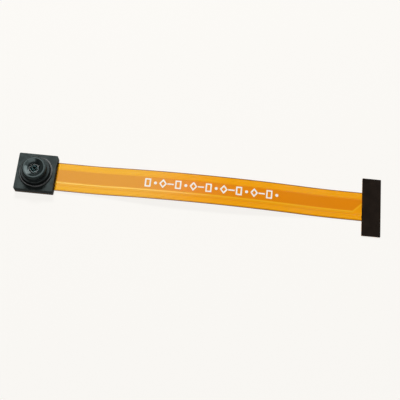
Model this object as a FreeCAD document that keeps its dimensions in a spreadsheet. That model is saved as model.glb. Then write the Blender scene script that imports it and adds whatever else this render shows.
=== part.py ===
import FreeCAD, Part
import os
import Sketcher

# Small fixed-focus camera module: a square head with a threaded lens, a long flexible
# printed ribbon that bows up from the table, and a stiffened tab with contact fingers.
# Millimetres. +X runs from the head to the tab, +Z is the optical axis.
# The origin is on the optical axis, on the back face of the head.

# Driving dimensions: name, value, what it measures
SIZES = [
    ("overall_length", 75.0, "outer edge of the head to the end of the tab"),
    ("head_side", 8.0, "side of the square head"),
    ("head_corner", 0.25, "round of the head's upright corners"),
    ("rear_stiffener_thickness", 0.30, "plate bonded under the head"),
    ("back_coverlay_thickness", 0.03, "cover film on the underside"),
    ("film_thickness", 0.04, "base film of the ribbon"),
    ("copper_thickness", 0.02, "copper foil on the base film"),
    ("cover_thickness", 0.03, "cover film above the copper"),
    ("ribbon_width", 6.2, "width of the ribbon"),
    ("head_flat_length", 5.0, "level stretch of the ribbon beside the head"),
    ("tab_flat_length", 3.55, "level stretch of the ribbon before the tab"),
    ("crest_distance", 34.0, "highest point of the bow, from the optical axis"),
    ("crest_height", 1.37, "underside of the ribbon at the highest point"),
    ("crest_share", 0.7, "share of each half of the bow that bends down from its top"),
    ("tab_length", 3.85, "length of the stiffened tab"),
    ("tab_margin", 0.375, "outermost finger to the side of the tab"),
    ("tab_corner", 0.15, "round of the tab's corners"),
    ("tab_stiffener_thickness", 0.18, "black plate on top of the tab"),
    ("finger_count", 24, "contact fingers under the tab"),
    ("finger_distance", 0.5, "distance from one finger to the next"),
    ("finger_width", 0.35, "width of one finger"),
    ("finger_length", 3.0, "bare length of one finger"),
    ("trace_inset", 0.55, "inner end of the traces, inside the edge of the head"),
    ("trace_overlap", 1.0, "length of the traces under the tab's plate"),
    ("trace_width", 0.16, "width of a signal trace"),
    ("trace_distance", 0.30, "distance from one signal trace to the next"),
    ("trace_count", 4, "signal traces on each side of the ground strip"),
    ("upper_trace_offset", 1.80, "first signal trace on the +Y side"),
    ("lower_trace_offset", 1.72, "first signal trace on the -Y side"),
    ("power_trace_offset", 1.28, "centre line of the wide supply trace, on the -Y side"),
    ("power_trace_width", 0.24, "width of the supply trace"),
    ("power_turn_setback", 1.85, "turn of the supply trace, before the tab"),
    ("power_turn_run", 2.5, "length along X of the slanting stretch after that turn"),
    ("ground_lower_edge", 1.02, "ground strip, from the centre line to its -Y edge"),
    ("ground_upper_edge", 1.55, "ground strip, from the centre line to its +Y edge"),
    ("pad_window_margin", 1.0, "cover film around its opening under the sensor"),
    ("pad_radius", 0.15, "copper pad under a solder ball"),
    ("ball_radius", 0.14, "solder ball at its widest"),
    ("ball_flat_radius", 0.10, "solder ball where it meets pad and die"),
    ("ball_height", 0.12, "height of a solder ball"),
    ("ball_count", 5, "solder balls along each side of the grid"),
    ("ball_distance", 0.80, "distance from one ball to the next"),
    ("sensor_length", 4.6, "image sensor along X"),
    ("sensor_width", 4.2, "image sensor along Y"),
    ("die_thickness", 0.25, "silicon die"),
    ("dam_height", 0.05, "wall between the die and its glass"),
    ("dam_wall", 0.35, "width of that wall"),
    ("cover_glass_thickness", 0.25, "glass over the sensor"),
    ("capacitor_length", 0.60, "chip capacitor along X"),
    ("capacitor_width", 0.30, "chip capacitor along Y"),
    ("capacitor_height", 0.30, "chip capacitor"),
    ("terminal_length", 0.15, "plated end of a capacitor"),
    ("capacitor_count", 3, "capacitors on each side of the sensor"),
    ("capacitor_distance", 1.40, "distance from one capacitor to the next"),
    ("capacitor_gap", 0.35, "sensor's side to the capacitors"),
    ("adhesive_thickness", 0.05, "bead between the head of the ribbon and the holder"),
    ("adhesive_inset", 0.10, "bead's outer edge, inside the head's side"),
    ("holder_wall", 0.70, "wall of the square housing around the sensor"),
    ("holder_edge_round", 0.12, "round of the housing's top edge"),
    ("filter_gap", 0.29, "glass over the sensor to the filter"),
    ("window_wall", 0.14, "filter to the floor of the threaded bore"),
    ("bore_sink", 0.15, "floor of the threaded bore below the housing's top"),
    ("collar_radius", 3.42, "outside of the round collar"),
    ("collar_height", 0.30, "collar above the housing's top"),
    ("collar_edge", 0.06, "chamfer on the collar's edges"),
    ("filter_side", 4.4, "side of the square filter"),
    ("filter_thickness", 0.21, "filter glass"),
    ("filter_clearance", 0.10, "gap around the filter, filled with adhesive"),
    ("light_window", 3.5, "side of the square opening above the filter"),
    ("thread_radius", 3.0, "outside of the barrel's thread"),
    ("thread_clearance", 0.06, "radial gap between barrel and bore"),
    ("thread_adhesive_depth", 0.15, "depth of the locking ring in that gap"),
    ("barrel_gap", 0.10, "floor of the threaded bore to the back end of the barrel"),
    ("thread_length", 1.23, "length of the barrel's threaded part"),
    ("thread_chamfer", 0.12, "chamfer at both ends of the thread"),
    ("neck_radius", 2.5, "outside of the barrel's plain neck"),
    ("neck_foot", 0.08, "chamfer at the foot of the neck"),
    ("rim_round", 0.28, "round at the outside of the rim"),
    ("funnel_radius", 2.0, "mouth of the funnel at the rim"),
    ("funnel_foot_radius", 1.36, "foot of the funnel"),
    ("funnel_depth", 0.47, "depth of the funnel"),
    ("mouth_radius", 1.12, "hole in front of the first lens"),
    ("mouth_step", 0.05, "small step between funnel and hole"),
    ("front_wall", 0.21, "wall in front of the first lens"),
    ("lens_bore_radius", 2.2, "bore that holds the lenses"),
    ("lens_clearance", 0.02, "radial gap between a lens or ring and its bore"),
    ("front_lens_thickness", 0.32, "rim of the first lens"),
    ("front_lens_dome_radius", 1.06, "edge of the first lens's dome"),
    ("front_lens_land", 0.08, "straight wall under the dome"),
    ("front_lens_dome", 0.14, "height of the dome"),
    ("front_lens_hollow_radius", 0.80, "edge of the hollow behind the first lens"),
    ("front_lens_hollow", 0.06, "depth of that hollow"),
    ("stop_thickness", 0.05, "aperture stop"),
    ("stop_radius", 0.55, "hole of the aperture stop"),
    ("middle_lens_thickness", 0.38, "rim of the middle lens"),
    ("middle_lens_radius", 0.95, "edge of the middle lens's curved faces"),
    ("middle_lens_hollow", 0.05, "hollow in front of the middle lens"),
    ("middle_lens_dome", 0.07, "dome behind the middle lens"),
    ("front_spacer_thickness", 0.12, "ring between middle and rear lens"),
    ("front_spacer_radius", 1.15, "hole of that ring"),
    ("rear_lens_thickness", 0.40, "rim of the rear lens"),
    ("rear_lens_radius", 1.45, "edge of the rear lens's curved faces"),
    ("rear_lens_hollow", 0.06, "hollow in front of the rear lens"),
    ("rear_lens_dome", 0.08, "dome behind the rear lens"),
    ("rear_spacer_thickness", 0.12, "ring behind the rear lens"),
    ("rear_spacer_radius", 1.6, "hole of that ring"),
    ("retainer_thickness", 0.22, "ring that closes the barrel"),
    ("retainer_radius", 1.7, "hole of that ring"),
    ("retainer_recess", 0.16, "that ring above the back end of the barrel"),
]

# Heights of the ribbon's layers above its own underside
FILM_LOW = "Sizes.back_coverlay_thickness"
FILM_TOP = "(Sizes.back_coverlay_thickness + Sizes.film_thickness)"
COPPER_TOP = "(Sizes.back_coverlay_thickness + Sizes.film_thickness + Sizes.copper_thickness)"
RIBBON_TOP = f"({COPPER_TOP} + Sizes.cover_thickness)"

# Underside of the ribbon under the head, at the crest and under the tab
HEAD_LEVEL = "Sizes.rear_stiffener_thickness"
CREST_LEVEL = "Sizes.crest_height"
TAB_LEVEL = "0"

# Places along X
HEAD_EDGE = "(Sizes.head_side / 2)"
TAB_END = "(Sizes.overall_length - Sizes.head_side / 2)"
TAB_START = f"({TAB_END} - Sizes.tab_length)"
BOW_START = f"({HEAD_EDGE} + Sizes.head_flat_length)"
BOW_END = f"({TAB_START} - Sizes.tab_flat_length)"
TRACE_START = f"({HEAD_EDGE} - Sizes.trace_inset)"
TRACE_END = f"({TAB_START} + Sizes.trace_overlap)"
POWER_TURN = f"({TAB_START} - Sizes.power_turn_setback)"
FINGER_START = f"({TAB_END} - Sizes.finger_length)"
FINGER_ROW = "((Sizes.finger_count - 1) * Sizes.finger_distance + Sizes.finger_width)"
TAB_SIDE = f"({FINGER_ROW} / 2 + Sizes.tab_margin)"
CAVITY_SIDE = "(Sizes.head_side - 2 * Sizes.holder_wall)"

# Heights above the back face of the head
HEAD_COPPER = f"({HEAD_LEVEL} + {COPPER_TOP})"
HEAD_TOP = f"({HEAD_LEVEL} + {RIBBON_TOP})"
DIE_BOTTOM = f"({HEAD_COPPER} + Sizes.ball_height)"
DIE_TOP = f"({DIE_BOTTOM} + Sizes.die_thickness)"
DAM_TOP = f"({DIE_TOP} + Sizes.dam_height)"
GLASS_TOP = f"({DAM_TOP} + Sizes.cover_glass_thickness)"
HOLDER_BOTTOM = f"({HEAD_TOP} + Sizes.adhesive_thickness)"
FILTER_BOTTOM = f"({GLASS_TOP} + Sizes.filter_gap)"
FILTER_TOP = f"({FILTER_BOTTOM} + Sizes.filter_thickness)"
BORE_FLOOR = f"({FILTER_TOP} + Sizes.window_wall)"
HOLDER_TOP = f"({BORE_FLOOR} + Sizes.bore_sink)"
COLLAR_TOP = f"({HOLDER_TOP} + Sizes.collar_height)"
BARREL_BOTTOM = f"({BORE_FLOOR} + Sizes.barrel_gap)"
THREAD_TOP = f"({BARREL_BOTTOM} + Sizes.thread_length)"
BORE_RADIUS = "(Sizes.thread_radius + Sizes.thread_clearance)"

# The lens stack, from the back end of the barrel to its rim
RETAINER_BOTTOM = f"({BARREL_BOTTOM} + Sizes.retainer_recess)"
REAR_SPACER_BOTTOM = f"({RETAINER_BOTTOM} + Sizes.retainer_thickness)"
REAR_LENS_BOTTOM = f"({REAR_SPACER_BOTTOM} + Sizes.rear_spacer_thickness)"
FRONT_SPACER_BOTTOM = f"({REAR_LENS_BOTTOM} + Sizes.rear_lens_thickness)"
MIDDLE_LENS_BOTTOM = f"({FRONT_SPACER_BOTTOM} + Sizes.front_spacer_thickness)"
STOP_BOTTOM = f"({MIDDLE_LENS_BOTTOM} + Sizes.middle_lens_thickness)"
FRONT_LENS_BOTTOM = f"({STOP_BOTTOM} + Sizes.stop_thickness)"
LENS_SEAT = f"({FRONT_LENS_BOTTOM} + Sizes.front_lens_thickness)"
MOUTH_TOP = f"({LENS_SEAT} + Sizes.front_wall)"
FUNNEL_FOOT = f"({MOUTH_TOP} + Sizes.mouth_step)"
RIM_TOP = f"({FUNNEL_FOOT} + Sizes.funnel_depth)"
LENS_RADIUS = "(Sizes.lens_bore_radius - Sizes.lens_clearance)"

# Numbers that a sketch gives to the points of an edge, and to its own origin
START, END, CENTRE = range(1, 4)
ORIGIN = -1

doc = FreeCAD.newDocument("camera_module")


def fill_sheet():
    """One row for each driving dimension: its name, its value and what it measures."""
    sheet = doc.addObject("Spreadsheet::Sheet", "Sizes")
    for row, (name, value, meaning) in enumerate(SIZES, start=1):
        sheet.set(f"A{row}", name)
        sheet.set(f"B{row}", str(value))
        sheet.setAlias(f"B{row}", name)
        sheet.set(f"C{row}", meaning)
    doc.recompute()


def new_body(name):
    body = doc.addObject("PartDesign::Body", name)
    body.Label = name
    return body


def feature(body, kind, name):
    """A new feature of a body, named after the body."""
    return body.newObject(kind, f"{body.Name}_{name}")


def origin_plane(body, role):
    return [item for item in body.Origin.OriginFeatures if item.Role == role][0]


def new_sketch(body, name, role, offset):
    """A sketch on one of the body's own planes, moved along the plane's normal."""
    sketch = feature(body, "Sketcher::SketchObject", name)
    sketch.AttachmentSupport = [(origin_plane(body, role), "")]
    sketch.MapMode = "FlatFace"
    sketch.setExpression("AttachmentOffset.Base.z", offset)
    return sketch


def bind(sketch, constraint, expression):
    """Add a constraint whose value follows the sheet."""
    index = sketch.addConstraint(constraint)
    sketch.setExpression(f"Constraints[{index}]", expression)


def bound_point(sketch, across, up):
    """A construction point tied to the sheet."""
    seed = FreeCAD.Vector(1 + sketch.GeometryCount, 1, 0)
    point = sketch.addGeometry(Part.Point(seed), True)
    bind(sketch, Sketcher.Constraint("DistanceX", ORIGIN, START, point, START, seed.x), across)
    bind(sketch, Sketcher.Constraint("DistanceY", ORIGIN, START, point, START, seed.y), up)
    return point


def arc_through(first, last, centre_x):
    """The short arc between two points whose centre lies above or below centre_x."""
    square = (last.x - centre_x) ** 2 + last.y ** 2 - (first.x - centre_x) ** 2 - first.y ** 2
    centre = FreeCAD.Vector(centre_x, square / (2 * (last.y - first.y)), 0)
    circle = Part.Circle(centre, FreeCAD.Vector(0, 0, 1), first.distanceToPoint(centre))
    turns_left = (first - centre).cross(last - centre).z > 0
    ends = (first, last) if turns_left else (last, first)
    angles = [circle.parameter(end) for end in ends]
    return Part.ArcOfCircle(circle, angles[0], angles[1]), turns_left


def draw_outline(sketch, corners):
    """Join bound corners into a closed outline. A corner is (across, up), or
    (across, up, centre) where the edge that arrives at it is an arc about that centre."""
    points = [bound_point(sketch, corner[0], corner[1]) for corner in corners]
    guides = {}
    for number, corner in enumerate(corners):
        if len(corner) == 3:
            guides[number] = bound_point(sketch, corner[2], "0")
    doc.recompute()
    for number, corner in enumerate(corners):
        before = points[number - 1]
        here = points[number]
        first = sketch.getPoint(before, START)
        last = sketch.getPoint(here, START)
        turns_left = True
        if number in guides:
            guide = guides[number]
            arc, turns_left = arc_through(first, last, sketch.getPoint(guide, START).x)
            edge = sketch.addGeometry(arc)
            sketch.addConstraint(Sketcher.Constraint("Vertical", edge, CENTRE, guide, START))
        else:
            edge = sketch.addGeometry(Part.LineSegment(first, last))
        tail, tip = (START, END) if turns_left else (END, START)
        sketch.addConstraint(Sketcher.Constraint("Coincident", edge, tail, before, START))
        sketch.addConstraint(Sketcher.Constraint("Coincident", edge, tip, here, START))


def rectangle(low_x, high_x, low_y, high_y, corner="0"):
    """Corners of a rectangle, with quarter rounds where a corner radius is given."""
    if corner == "0":
        return [(low_x, low_y), (high_x, low_y), (high_x, high_y), (low_x, high_y)]
    left = f"({low_x} + {corner})"
    right = f"({high_x} - {corner})"
    return [
        (left, low_y, left),
        (right, low_y),
        (high_x, f"({low_y} + {corner})", right),
        (high_x, f"({high_y} - {corner})"),
        (right, high_y, right),
        (left, high_y),
        (low_x, f"({high_y} - {corner})", left),
        (low_x, f"({low_y} + {corner})"),
    ]


def square(side, corner="0"):
    return rectangle(f"(-{side} / 2)", f"({side} / 2)", f"(-{side} / 2)", f"({side} / 2)", corner)


def octagon(middle, radius):
    """Corners of an octagon whose centre lies at the same place along both axes."""
    near = f"{radius} * (sqrt(2) - 1)"
    corners = []
    for across, up in ((radius, near), (near, radius), (f"-{near}", radius), (f"-{radius}", near)):
        corners.append((f"{middle} + {across}", f"{middle} + {up}"))
    for across, up in ((radius, near), (near, radius), (f"-{near}", radius), (f"-{radius}", near)):
        corners.append((f"{middle} - ({across})", f"{middle} - {up}"))
    return corners


def pad(body, sketch, name, length, symmetric=False):
    solid = feature(body, "PartDesign::Pad", name)
    solid.Profile = sketch
    solid.SideType = "Symmetric" if symmetric else "One side"
    solid.setExpression("Length", length)
    doc.recompute()
    return solid


def cut(body, sketch, name, length, symmetric=False):
    """A pocket that goes down from its sketch, or to both sides of it."""
    before = body.Shape.Volume
    hollow = feature(body, "PartDesign::Pocket", name)
    hollow.Profile = sketch
    hollow.SideType = "Symmetric" if symmetric else "One side"
    hollow.setExpression("Length", length)
    doc.recompute()
    if body.Shape.Volume >= before:
        raise RuntimeError(f"{hollow.Name} cuts nothing")
    return hollow


def plate(body, name, corners, low, high):
    """An upright block from one height to another."""
    sketch = new_sketch(body, f"{name}_sketch", "XY_Plane", low)
    draw_outline(sketch, corners)
    return pad(body, sketch, name, f"{high} - {low}")


def opening(body, name, corners, low, high):
    """An upright hollow from one height to another."""
    sketch = new_sketch(body, f"{name}_sketch", "XY_Plane", high)
    draw_outline(sketch, corners)
    return cut(body, sketch, name, f"{high} - {low}")


def turned(name, corners):
    """A body turned about the optical axis from its half section."""
    body = new_body(name)
    sketch = new_sketch(body, "section", "XZ_Plane", "0")
    draw_outline(sketch, corners)
    solid = feature(body, "PartDesign::Revolution", "turned")
    solid.Profile = sketch
    solid.ReferenceAxis = (sketch, ["V_Axis"])
    doc.recompute()
    return body


def ring(name, inner, outer, low, high):
    return turned(name, [(inner, low), (outer, low), (outer, high), (inner, high)])


def repeat(body, original, name, *directions):
    """Copies of a feature, a row for each direction: (sketch axis, count, spacing).
    A minus sign before the axis turns the row round."""
    rows = feature(body, "PartDesign::MultiTransform", name)
    rows.Originals = [original]
    steps = []
    for axis, count, spacing in directions:
        step = feature(body, "PartDesign::LinearPattern", f"{name}_row")
        step.Direction = (original.Profile[0], [axis.lstrip("-")])
        step.Reversed = axis.startswith("-")
        step.Mode = "Spacing"
        step.setExpression("Occurrences", count)
        step.setExpression("Offset", spacing)
        steps.append(step)
    rows.Transformations = steps
    body.Tip = rows
    doc.recompute()


# The ribbon's side view: flat under the head, a shallow bow, flat under the tab

def bow_radii(distance, level):
    """Radius at the foot of one half of the bow, and the sum of its foot's and crest's radii."""
    run = f"(Sizes.crest_distance - {distance})"
    rise = f"({CREST_LEVEL} - {level})"
    both = f"((pow({run}; 2) + pow({rise}; 2)) / (2 * {rise}))"
    return f"({both} * (1 - Sizes.crest_share))", both


def foot_end(distance, level, layer):
    """Where the arc of the foot meets the arc of the crest, at one layer of the ribbon."""
    foot, both = bow_radii(distance, level)
    share = f"(({foot} - {layer}) / {both})"
    across = f"{distance} + (Sizes.crest_distance - {distance}) * {share}"
    up = f"{level} + {foot} - ({both} - {CREST_LEVEL} + {level}) * {share}"
    return across, up


def layer_section(left, right, low, high):
    """Side view of one layer, between two heights above the ribbon's underside."""
    crest = "Sizes.crest_distance"
    corners = []
    for layer, forwards in ((low, True), (high, False)):
        path = [
            (left, f"{HEAD_LEVEL} + {layer}"),
            (BOW_START, f"{HEAD_LEVEL} + {layer}"),
            foot_end(BOW_START, HEAD_LEVEL, layer),
            (crest, f"{CREST_LEVEL} + {layer}"),
            foot_end(BOW_END, TAB_LEVEL, layer),
            (BOW_END, f"{TAB_LEVEL} + {layer}"),
            (right, f"{TAB_LEVEL} + {layer}"),
        ]
        centres = [None, BOW_START, crest, crest, BOW_END, None]
        if not forwards:
            path.reverse()
            centres.reverse()
        corners.append(path[0])
        for corner, centre in zip(path[1:], centres):
            corners.append(corner if centre is None else corner + (centre,))
    return corners


def ribbon_strip(body, name, left, right, low, high, middle, width, hollow=False):
    """A strip that follows the bow, its middle line at a given Y."""
    sketch = new_sketch(body, f"{name}_sketch", "XZ_Plane", f"-({middle})")
    draw_outline(sketch, layer_section(left, right, low, high))
    if hollow:
        return cut(body, sketch, name, width, symmetric=True)
    return pad(body, sketch, name, width, symmetric=True)


def copper_lines(body, hollow):
    """The ribbon's copper, as solids, or as the grooves that it fills in the cover film."""
    block = opening if hollow else plate
    for name, middle, outwards in (
            ("upper", "Sizes.upper_trace_offset", "-N_Axis"),
            ("lower", "-Sizes.lower_trace_offset", "N_Axis")):
        strip = ribbon_strip(body, f"{name}_trace", TRACE_START, TRACE_END,
                             FILM_TOP, COPPER_TOP, middle, "Sizes.trace_width", hollow)
        repeat(body, strip, f"{name}_traces",
               (outwards, "Sizes.trace_count", "Sizes.trace_distance"))
    for name, middle, width in (
            ("power_trace", "-Sizes.power_trace_offset", "Sizes.power_trace_width"),
            ("ground", "(Sizes.ground_upper_edge - Sizes.ground_lower_edge) / 2",
             "Sizes.ground_upper_edge + Sizes.ground_lower_edge")):
        ribbon_strip(body, name, TRACE_START, POWER_TURN,
                     FILM_TOP, COPPER_TOP, middle, width, hollow)
    # Near the tab the supply trace crosses at 45 degrees and the ground strip gives way
    low = "(-Sizes.power_trace_offset - Sizes.power_trace_width / 2)"
    high = "(-Sizes.power_trace_offset + Sizes.power_trace_width / 2)"
    slant_end = f"({POWER_TURN} + Sizes.power_turn_run)"
    levels = (f"({TAB_LEVEL} + {FILM_TOP})", f"({TAB_LEVEL} + {COPPER_TOP})")
    block(body, "power_turn", [
        (POWER_TURN, low),
        (slant_end, f"{low} + Sizes.power_turn_run"),
        (slant_end, f"{high} + Sizes.power_turn_run"),
        (POWER_TURN, high),
    ], *levels)
    block(body, "ground_end", [
        (POWER_TURN, "-Sizes.ground_lower_edge"),
        (f"{POWER_TURN} + Sizes.ground_upper_edge + Sizes.ground_lower_edge",
         "Sizes.ground_upper_edge"),
        (POWER_TURN, "Sizes.ground_upper_edge"),
    ], *levels)


def ribbon_layer(name, low, high, tab_end, tab_corner):
    """One film of the ribbon: square head, long strip and wide tab in one piece."""
    body = new_body(name)
    plate(body, "head", square("Sizes.head_side", "Sizes.head_corner"),
          f"({HEAD_LEVEL} + {low})", f"({HEAD_LEVEL} + {high})")
    ribbon_strip(body, "strip", "0", tab_end, low, high, "0", "Sizes.ribbon_width")
    plate(body, "tab", tab_outline(tab_end, tab_corner),
          f"({TAB_LEVEL} + {low})", f"({TAB_LEVEL} + {high})")
    return body


def tab_outline(end, corner):
    return rectangle(TAB_START, end, f"(-{TAB_SIDE})", TAB_SIDE, corner)


def make_ribbon():
    ribbon_layer("back_coverlay", "0", FILM_LOW, FINGER_START, "0")
    ribbon_layer("base_film", FILM_LOW, FILM_TOP, TAB_END, "Sizes.tab_corner")
    copper_lines(new_body("copper_traces"), hollow=False)
    cover = ribbon_layer("top_coverlay", FILM_TOP, RIBBON_TOP, TAB_END, "Sizes.tab_corner")
    copper_lines(cover, hollow=True)
    opening(cover, "pad_window", square("(Sizes.head_side - 2 * Sizes.pad_window_margin)"),
            f"({HEAD_LEVEL} + {FILM_TOP})", HEAD_TOP)


def make_tab():
    plate(new_body("connector_stiffener"), "plate", tab_outline(TAB_END, "Sizes.tab_corner"),
          f"({TAB_LEVEL} + {RIBBON_TOP})",
          f"({TAB_LEVEL} + {RIBBON_TOP} + Sizes.tab_stiffener_thickness)")
    fingers = new_body("contact_fingers")
    first = row_start("Sizes.finger_count", "Sizes.finger_distance")
    finger = plate(fingers, "finger", rectangle(FINGER_START, TAB_END,
                                                f"({first} - Sizes.finger_width / 2)",
                                                f"({first} + Sizes.finger_width / 2)"),
                   TAB_LEVEL, f"({TAB_LEVEL} + {FILM_LOW})")
    repeat(fingers, finger, "row", ("V_Axis", "Sizes.finger_count", "Sizes.finger_distance"))


def row_start(count, spacing):
    """First place of a row that is centred on the axis."""
    return f"(-({count} - 1) * {spacing} / 2)"


def capacitor_blocks(body, name, left, right, low, high):
    """The same stretch of every capacitor: a row on each side of the sensor."""
    middle = "(Sizes.sensor_width / 2 + Sizes.capacitor_gap + Sizes.capacitor_width / 2)"
    first = row_start("Sizes.capacitor_count", "Sizes.capacitor_distance")
    block = plate(body, name, rectangle(f"({first} + {left})", f"({first} + {right})",
                                        f"(-{middle} - Sizes.capacitor_width / 2)",
                                        f"(-{middle} + Sizes.capacitor_width / 2)"), low, high)
    repeat(body, block, f"{name}_rows",
           ("H_Axis", "Sizes.capacitor_count", "Sizes.capacitor_distance"),
           ("V_Axis", "2", f"2 * {middle}"))


def capacitor_ends(body, low, high):
    """Both plated ends of every capacitor."""
    half = "(Sizes.capacitor_length / 2)"
    inner = f"({half} - Sizes.terminal_length)"
    capacitor_blocks(body, "left_end", f"(-{half})", f"(-{inner})", low, high)
    capacitor_blocks(body, "right_end", inner, half, low, high)


def ball_grid(body, original):
    repeat(body, original, "grid", ("H_Axis", "Sizes.ball_count", "Sizes.ball_distance"),
           ("V_Axis", "Sizes.ball_count", "Sizes.ball_distance"))


def make_pads():
    """Pads under the solder balls and under the capacitors."""
    film = f"({HEAD_LEVEL} + {FILM_TOP})"
    pads = new_body("solder_pads")
    first = row_start("Sizes.ball_count", "Sizes.ball_distance")
    ball_grid(pads, plate(pads, "pad", octagon(first, "Sizes.pad_radius"), film, HEAD_COPPER))
    capacitor_ends(pads, film, HEAD_COPPER)


def make_capacitors():
    top = f"({HEAD_COPPER} + Sizes.capacitor_height)"
    inner = "(Sizes.capacitor_length / 2 - Sizes.terminal_length)"
    capacitor_blocks(new_body("capacitor_bodies"), "ceramic", f"(-{inner})", inner,
                     HEAD_COPPER, top)
    capacitor_ends(new_body("capacitor_terminals"), HEAD_COPPER, top)


def make_sensor():
    half = "Sizes.sensor_length / 2"
    side = "Sizes.sensor_width / 2"
    outline = rectangle(f"(-{half})", f"({half})", f"(-{side})", f"({side})")
    plate(new_body("sensor_die"), "die", outline, DIE_BOTTOM, DIE_TOP)
    dam = new_body("sensor_dam")
    plate(dam, "wall", outline, DIE_TOP, DAM_TOP)
    opening(dam, "room", rectangle(
        f"(-{half} + Sizes.dam_wall)", f"({half} - Sizes.dam_wall)",
        f"(-{side} + Sizes.dam_wall)", f"({side} - Sizes.dam_wall)"), DIE_TOP, DAM_TOP)
    plate(new_body("sensor_cover_glass"), "glass", outline, DAM_TOP, GLASS_TOP)


def make_solder_balls():
    """Each ball bulges between its pad and the die."""
    body = new_body("solder_balls")
    first = row_start("Sizes.ball_count", "Sizes.ball_distance")
    waist = new_sketch(body, "waist", "XY_Plane", f"{HEAD_COPPER} + Sizes.ball_height / 2")
    draw_outline(waist, octagon(first, "Sizes.ball_radius"))
    ball = feature(body, "PartDesign::Pad", "ball")
    ball.Profile = waist
    ball.SideType = "Two sides"
    narrowing = "(Sizes.ball_flat_radius - Sizes.ball_radius)"
    for length, taper in (("Length", "TaperAngle"), ("Length2", "TaperAngle2")):
        ball.setExpression(length, "Sizes.ball_height / 2")
        ball.setExpression(taper, f"atan(2 * {narrowing} / Sizes.ball_height)")
    doc.recompute()
    ball_grid(body, ball)


def make_rear_stiffener():
    plate(new_body("rear_stiffener"), "plate", square("Sizes.head_side", "Sizes.head_corner"),
          "0", HEAD_LEVEL)


def make_holder_adhesive():
    bead = new_body("holder_adhesive")
    plate(bead, "bead", square("(Sizes.head_side - 2 * Sizes.adhesive_inset)", "Sizes.head_corner"),
          HEAD_TOP, HOLDER_BOTTOM)
    opening(bead, "room", square(CAVITY_SIDE), HEAD_TOP, HOLDER_BOTTOM)


def make_lens_holder():
    """Moulded housing: sensor room below, filter recess, light window, threaded collar on top."""
    holder = new_body("lens_holder")
    plate(holder, "housing", square("Sizes.head_side", "Sizes.head_corner"),
          HOLDER_BOTTOM, HOLDER_TOP)
    edges = feature(holder, "PartDesign::Fillet", "top_edge")
    housing = edges.BaseFeature
    top_edges = [f"Edge{number}" for number, edge in enumerate(housing.Shape.Edges, start=1)
                 if edge.BoundBox.ZMin > housing.Shape.BoundBox.ZMax - edge.Tolerance * 10]
    edges.Base = (housing, top_edges)
    edges.setExpression("Radius", "Sizes.holder_edge_round")
    doc.recompute()
    collar = new_sketch(holder, "collar_section", "XZ_Plane", "0")
    draw_outline(collar, [
        ("0", FILTER_BOTTOM),
        ("Sizes.collar_radius", FILTER_BOTTOM),
        ("Sizes.collar_radius", f"({COLLAR_TOP} - Sizes.collar_edge)"),
        ("Sizes.collar_radius - Sizes.collar_edge", COLLAR_TOP),
        ("0", COLLAR_TOP),
    ])
    ring_wall = feature(holder, "PartDesign::Revolution", "collar")
    ring_wall.Profile = collar
    ring_wall.ReferenceAxis = (collar, ["V_Axis"])
    doc.recompute()
    bore = new_sketch(holder, "bore_section", "XZ_Plane", "0")
    draw_outline(bore, [
        ("0", BORE_FLOOR),
        (BORE_RADIUS, BORE_FLOOR),
        (BORE_RADIUS, f"({COLLAR_TOP} - Sizes.collar_edge)"),
        (f"{BORE_RADIUS} + Sizes.collar_edge", COLLAR_TOP),
        ("0", COLLAR_TOP),
    ])
    hollow = feature(holder, "PartDesign::Groove", "bore")
    hollow.Profile = bore
    hollow.ReferenceAxis = (bore, ["V_Axis"])
    doc.recompute()
    opening(holder, "sensor_room", square(CAVITY_SIDE), HOLDER_BOTTOM, FILTER_BOTTOM)
    opening(holder, "filter_recess", square("(Sizes.filter_side + 2 * Sizes.filter_clearance)"),
            FILTER_BOTTOM, FILTER_TOP)
    opening(holder, "light_window", square("Sizes.light_window"), FILTER_TOP, BORE_FLOOR)


def make_filter():
    plate(new_body("ir_cut_filter"), "glass", square("Sizes.filter_side"),
          FILTER_BOTTOM, FILTER_TOP)
    bead = new_body("filter_adhesive")
    plate(bead, "bead", square("(Sizes.filter_side + 2 * Sizes.filter_clearance)"),
          FILTER_BOTTOM, FILTER_TOP)
    opening(bead, "glass_room", square("Sizes.filter_side"), FILTER_BOTTOM, FILTER_TOP)


def make_barrel():
    """Stepped barrel: threaded skirt, plain neck, rounded rim, funnel mouth and lens bore."""
    rim_inside = "(Sizes.neck_radius - Sizes.rim_round)"
    turned("lens_barrel", [
        ("Sizes.lens_bore_radius", BARREL_BOTTOM),
        ("Sizes.thread_radius - Sizes.thread_chamfer", BARREL_BOTTOM),
        ("Sizes.thread_radius", f"{BARREL_BOTTOM} + Sizes.thread_chamfer"),
        ("Sizes.thread_radius", f"{THREAD_TOP} - Sizes.thread_chamfer"),
        ("Sizes.thread_radius - Sizes.thread_chamfer", THREAD_TOP),
        ("Sizes.neck_radius + Sizes.neck_foot", THREAD_TOP),
        ("Sizes.neck_radius", f"{THREAD_TOP} + Sizes.neck_foot"),
        ("Sizes.neck_radius", f"{RIM_TOP} - Sizes.rim_round"),
        (rim_inside, RIM_TOP, rim_inside),
        ("Sizes.funnel_radius", RIM_TOP),
        ("Sizes.funnel_foot_radius", FUNNEL_FOOT),
        ("Sizes.mouth_radius", MOUTH_TOP),
        ("Sizes.mouth_radius", LENS_SEAT),
        ("Sizes.lens_bore_radius", LENS_SEAT),
    ])
    ring("thread_adhesive", "Sizes.thread_radius", BORE_RADIUS,
         f"({COLLAR_TOP} - Sizes.collar_edge - Sizes.thread_adhesive_depth)",
         f"({COLLAR_TOP} - Sizes.collar_edge)")


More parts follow.
